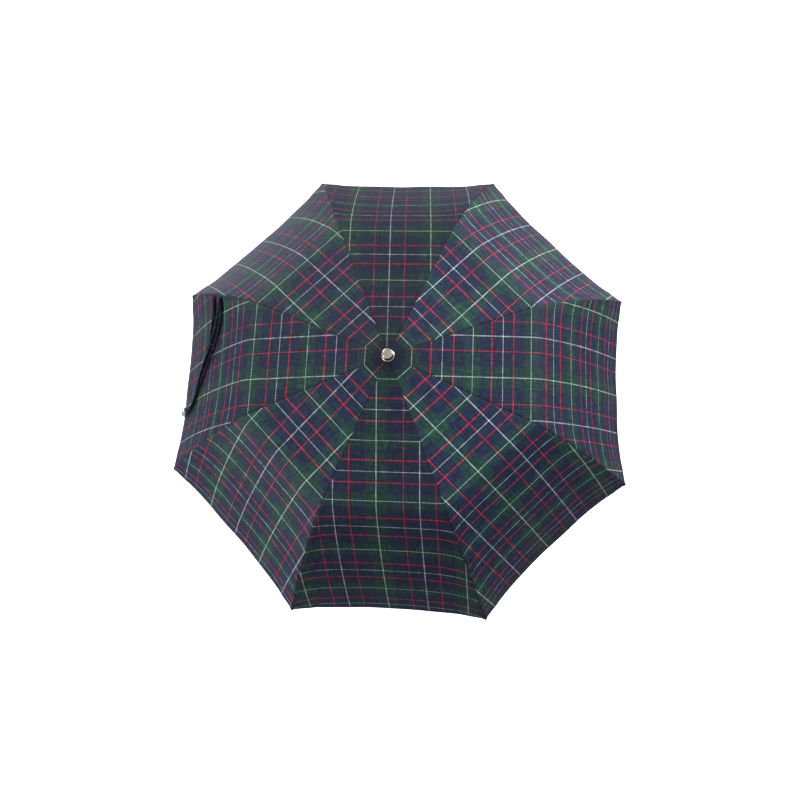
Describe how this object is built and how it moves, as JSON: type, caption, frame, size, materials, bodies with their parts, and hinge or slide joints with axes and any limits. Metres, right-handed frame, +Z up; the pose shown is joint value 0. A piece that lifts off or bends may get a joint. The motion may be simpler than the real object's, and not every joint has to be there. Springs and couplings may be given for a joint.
{
  "type": "folding umbrella",
  "caption": "Open two-section folding umbrella with a tartan cloth canopy on jointed steel ribs, a sliding runner, a telescopic shaft and a short straight grip.",
  "frame": {"origin": "middle of the grip's straight length, on the axis of the shaft", "axes": "+Z up the shaft towards the cap; +X and +Y through the middles of two canopy panels"},
  "size_m": [0.8642, 0.8642, 0.6328],
  "materials": {
    "cloth": "woven tartan, navy and dark green with red and white lines",
    "cap_metal": "polished warm nickel",
    "tube_steel": "nickel plated",
    "rib_steel": "galvanised",
    "black_plastic": "moulded, satin",
    "white_plastic": "moulded",
    "grip_plastic": "soft touch",
    "tip_metal": "black enamel",
    "snap_metal": "black enamel"
  },
  "bodies": {
    "handle_section": {"handle_grip": "grip_plastic", "handle_collar": "cap_metal", "handle_end_cap": "cap_metal", "lower_tube": "tube_steel", "stop_sleeve": "tube_steel"},
    "upper_shaft": {"upper_tube": "tube_steel", "tube_bush": "white_plastic", "crown": "black_plastic", "crown_pins": "rib_steel", "cloth_washer": "black_plastic", "cap_flange": "cap_metal", "cap_top": "cap_metal", "canopy_panel_1": "cloth", "canopy_panel_2": "cloth", "canopy_panel_3": "cloth", "canopy_panel_4": "cloth", "canopy_panel_5": "cloth", "canopy_panel_6": "cloth", "canopy_panel_7": "cloth", "canopy_panel_8": "cloth"},
    "runner": {"runner": "black_plastic"},
    "runner_button": {"runner_button": "cap_metal"},
    "inner_rib_1": {"inner_rib_1": "rib_steel"},
    "outer_rib_1": {"outer_rib_1": "rib_steel", "rib_tip_1": "tip_metal"},
    "stretcher_1": {"stretcher_1": "rib_steel"},
    "inner_rib_2": {"inner_rib_2": "rib_steel"},
    "outer_rib_2": {"outer_rib_2": "rib_steel", "rib_tip_2": "tip_metal"},
    "stretcher_2": {"stretcher_2": "rib_steel"},
    "inner_rib_3": {"inner_rib_3": "rib_steel"},
    "outer_rib_3": {"outer_rib_3": "rib_steel", "rib_tip_3": "tip_metal"},
    "stretcher_3": {"stretcher_3": "rib_steel"},
    "inner_rib_4": {"inner_rib_4": "rib_steel"},
    "outer_rib_4": {"outer_rib_4": "rib_steel", "rib_tip_4": "tip_metal", "tie_strap": "cloth", "strap_snap": "snap_metal"},
    "stretcher_4": {"stretcher_4": "rib_steel"},
    "inner_rib_5": {"inner_rib_5": "rib_steel"},
    "outer_rib_5": {"outer_rib_5": "rib_steel", "rib_tip_5": "tip_metal"},
    "stretcher_5": {"stretcher_5": "rib_steel"},
    "inner_rib_6": {"inner_rib_6": "rib_steel"},
    "outer_rib_6": {"outer_rib_6": "rib_steel", "rib_tip_6": "tip_metal"},
    "stretcher_6": {"stretcher_6": "rib_steel"},
    "inner_rib_7": {"inner_rib_7": "rib_steel"},
    "outer_rib_7": {"outer_rib_7": "rib_steel", "rib_tip_7": "tip_metal"},
    "stretcher_7": {"stretcher_7": "rib_steel"},
    "inner_rib_8": {"inner_rib_8": "rib_steel"},
    "outer_rib_8": {"outer_rib_8": "rib_steel", "rib_tip_8": "tip_metal"},
    "stretcher_8": {"stretcher_8": "rib_steel"}
  },
  "joints": [
    {"name": "telescope", "type": "slide", "parent": "handle_section", "child": "upper_shaft", "axis": [0, 0, -1], "range_m": [0, 0.23]},
    {"name": "runner_slide", "type": "slide", "parent": "upper_shaft", "child": "runner", "axis": [0, 0, -1], "range_m": [0, 0.20934]},
    {"name": "button_press", "type": "slide", "parent": "runner", "child": "runner_button", "axis": [-1, 0, 0], "range_m": [0, 0.0011], "stiffness_N_per_m": 600},
    {"name": "rib_pivot_1", "type": "hinge", "parent": "upper_shaft", "child": "inner_rib_1", "pos_m": [0.00878, 0.00364, 0.568], "axis": [-0.3827, 0.9239, 0], "range_deg": [0, 78.8], "deforming": ["canopy_panel_1", "canopy_panel_2", "canopy_panel_3", "canopy_panel_4", "canopy_panel_5", "canopy_panel_6", "canopy_panel_7", "canopy_panel_8", "tie_strap", "strap_snap"]},
    {"name": "rib_fold_1", "type": "hinge", "parent": "inner_rib_1", "child": "outer_rib_1", "pos_m": [0.25216, 0.10445, 0.53754], "axis": [0.3827, -0.9239, 0], "range_deg": [0, 201]},
    {"name": "stretcher_pivot_1", "type": "hinge", "parent": "inner_rib_1", "child": "stretcher_1", "pos_m": [0.11877, 0.0492, 0.55296], "axis": [0.3827, -0.9239, 0], "range_deg": [0, 157.7]},
    {"name": "rib_pivot_2", "type": "hinge", "parent": "upper_shaft", "child": "inner_rib_2", "pos_m": [0.00364, 0.00878, 0.568], "axis": [-0.9239, 0.3827, 0], "range_deg": [0, 78.8]},
    {"name": "rib_fold_2", "type": "hinge", "parent": "inner_rib_2", "child": "outer_rib_2", "pos_m": [0.10445, 0.25216, 0.53754], "axis": [0.9239, -0.3827, 0], "range_deg": [0, 201]},
    {"name": "stretcher_pivot_2", "type": "hinge", "parent": "inner_rib_2", "child": "stretcher_2", "pos_m": [0.0492, 0.11877, 0.55296], "axis": [0.9239, -0.3827, 0], "range_deg": [0, 157.7]},
    {"name": "rib_pivot_3", "type": "hinge", "parent": "upper_shaft", "child": "inner_rib_3", "pos_m": [-0.00364, 0.00878, 0.568], "axis": [-0.9239, -0.3827, 0], "range_deg": [0, 78.8]},
    {"name": "rib_fold_3", "type": "hinge", "parent": "inner_rib_3", "child": "outer_rib_3", "pos_m": [-0.10445, 0.25216, 0.53754], "axis": [0.9239, 0.3827, 0], "range_deg": [0, 201]},
    {"name": "stretcher_pivot_3", "type": "hinge", "parent": "inner_rib_3", "child": "stretcher_3", "pos_m": [-0.0492, 0.11877, 0.55296], "axis": [0.9239, 0.3827, 0], "range_deg": [0, 157.7]},
    {"name": "rib_pivot_4", "type": "hinge", "parent": "upper_shaft", "child": "inner_rib_4", "pos_m": [-0.00878, 0.00364, 0.568], "axis": [-0.3827, -0.9239, 0], "range_deg": [0, 78.8]},
    {"name": "rib_fold_4", "type": "hinge", "parent": "inner_rib_4", "child": "outer_rib_4", "pos_m": [-0.25216, 0.10445, 0.53754], "axis": [0.3827, 0.9239, 0], "range_deg": [0, 201]},
    {"name": "stretcher_pivot_4", "type": "hinge", "parent": "inner_rib_4", "child": "stretcher_4", "pos_m": [-0.11877, 0.0492, 0.55296], "axis": [0.3827, 0.9239, 0], "range_deg": [0, 157.7]},
    {"name": "rib_pivot_5", "type": "hinge", "parent": "upper_shaft", "child": "inner_rib_5", "pos_m": [-0.00878, -0.00364, 0.568], "axis": [0.3827, -0.9239, 0], "range_deg": [0, 78.8]},
    {"name": "rib_fold_5", "type": "hinge", "parent": "inner_rib_5", "child": "outer_rib_5", "pos_m": [-0.25216, -0.10445, 0.53754], "axis": [-0.3827, 0.9239, 0], "range_deg": [0, 201]},
    {"name": "stretcher_pivot_5", "type": "hinge", "parent": "inner_rib_5", "child": "stretcher_5", "pos_m": [-0.11877, -0.0492, 0.55296], "axis": [-0.3827, 0.9239, 0], "range_deg": [0, 157.7]},
    {"name": "rib_pivot_6", "type": "hinge", "parent": "upper_shaft", "child": "inner_rib_6", "pos_m": [-0.00364, -0.00878, 0.568], "axis": [0.9239, -0.3827, 0], "range_deg": [0, 78.8]},
    {"name": "rib_fold_6", "type": "hinge", "parent": "inner_rib_6", "child": "outer_rib_6", "pos_m": [-0.10445, -0.25216, 0.53754], "axis": [-0.9239, 0.3827, 0], "range_deg": [0, 201]},
    {"name": "stretcher_pivot_6", "type": "hinge", "parent": "inner_rib_6", "child": "stretcher_6", "pos_m": [-0.0492, -0.11877, 0.55296], "axis": [-0.9239, 0.3827, 0], "range_deg": [0, 157.7]},
    {"name": "rib_pivot_7", "type": "hinge", "parent": "upper_shaft", "child": "inner_rib_7", "pos_m": [0.00364, -0.00878, 0.568], "axis": [0.9239, 0.3827, 0], "range_deg": [0, 78.8]},
    {"name": "rib_fold_7", "type": "hinge", "parent": "inner_rib_7", "child": "outer_rib_7", "pos_m": [0.10445, -0.25216, 0.53754], "axis": [-0.9239, -0.3827, 0], "range_deg": [0, 201]},
    {"name": "stretcher_pivot_7", "type": "hinge", "parent": "inner_rib_7", "child": "stretcher_7", "pos_m": [0.0492, -0.11877, 0.55296], "axis": [-0.9239, -0.3827, 0], "range_deg": [0, 157.7]},
    {"name": "rib_pivot_8", "type": "hinge", "parent": "upper_shaft", "child": "inner_rib_8", "pos_m": [0.00878, -0.00364, 0.568], "axis": [0.3827, 0.9239, 0], "range_deg": [0, 78.8]},
    {"name": "rib_fold_8", "type": "hinge", "parent": "inner_rib_8", "child": "outer_rib_8", "pos_m": [0.25216, -0.10445, 0.53754], "axis": [-0.3827, -0.9239, 0], "range_deg": [0, 201]},
    {"name": "stretcher_pivot_8", "type": "hinge", "parent": "inner_rib_8", "child": "stretcher_8", "pos_m": [0.11877, -0.0492, 0.55296], "axis": [-0.3827, -0.9239, 0], "range_deg": [0, 157.7]}
  ],
  "couplings": [
    {"joint": "runner_slide", "follows": "rib_pivot_1", "m_per_rad": 0.1522},
    {"joint": "rib_fold_1", "follows": "rib_pivot_1", "ratio": 2.55},
    {"joint": "stretcher_pivot_1", "follows": "rib_pivot_1", "ratio": 2},
    {"joint": "rib_pivot_2", "follows": "rib_pivot_1", "ratio": 1},
    {"joint": "rib_fold_2", "follows": "rib_pivot_1", "ratio": 2.55},
    {"joint": "stretcher_pivot_2", "follows": "rib_pivot_1", "ratio": 2},
    {"joint": "rib_pivot_3", "follows": "rib_pivot_1", "ratio": 1},
    {"joint": "rib_fold_3", "follows": "rib_pivot_1", "ratio": 2.55},
    {"joint": "stretcher_pivot_3", "follows": "rib_pivot_1", "ratio": 2},
    {"joint": "rib_pivot_4", "follows": "rib_pivot_1", "ratio": 1},
    {"joint": "rib_fold_4", "follows": "rib_pivot_1", "ratio": 2.55},
    {"joint": "stretcher_pivot_4", "follows": "rib_pivot_1", "ratio": 2},
    {"joint": "rib_pivot_5", "follows": "rib_pivot_1", "ratio": 1},
    {"joint": "rib_fold_5", "follows": "rib_pivot_1", "ratio": 2.55},
    {"joint": "stretcher_pivot_5", "follows": "rib_pivot_1", "ratio": 2},
    {"joint": "rib_pivot_6", "follows": "rib_pivot_1", "ratio": 1},
    {"joint": "rib_fold_6", "follows": "rib_pivot_1", "ratio": 2.55},
    {"joint": "stretcher_pivot_6", "follows": "rib_pivot_1", "ratio": 2},
    {"joint": "rib_pivot_7", "follows": "rib_pivot_1", "ratio": 1},
    {"joint": "rib_fold_7", "follows": "rib_pivot_1", "ratio": 2.55},
    {"joint": "stretcher_pivot_7", "follows": "rib_pivot_1", "ratio": 2},
    {"joint": "rib_pivot_8", "follows": "rib_pivot_1", "ratio": 1},
    {"joint": "rib_fold_8", "follows": "rib_pivot_1", "ratio": 2.55},
    {"joint": "stretcher_pivot_8", "follows": "rib_pivot_1", "ratio": 2}
  ]
}
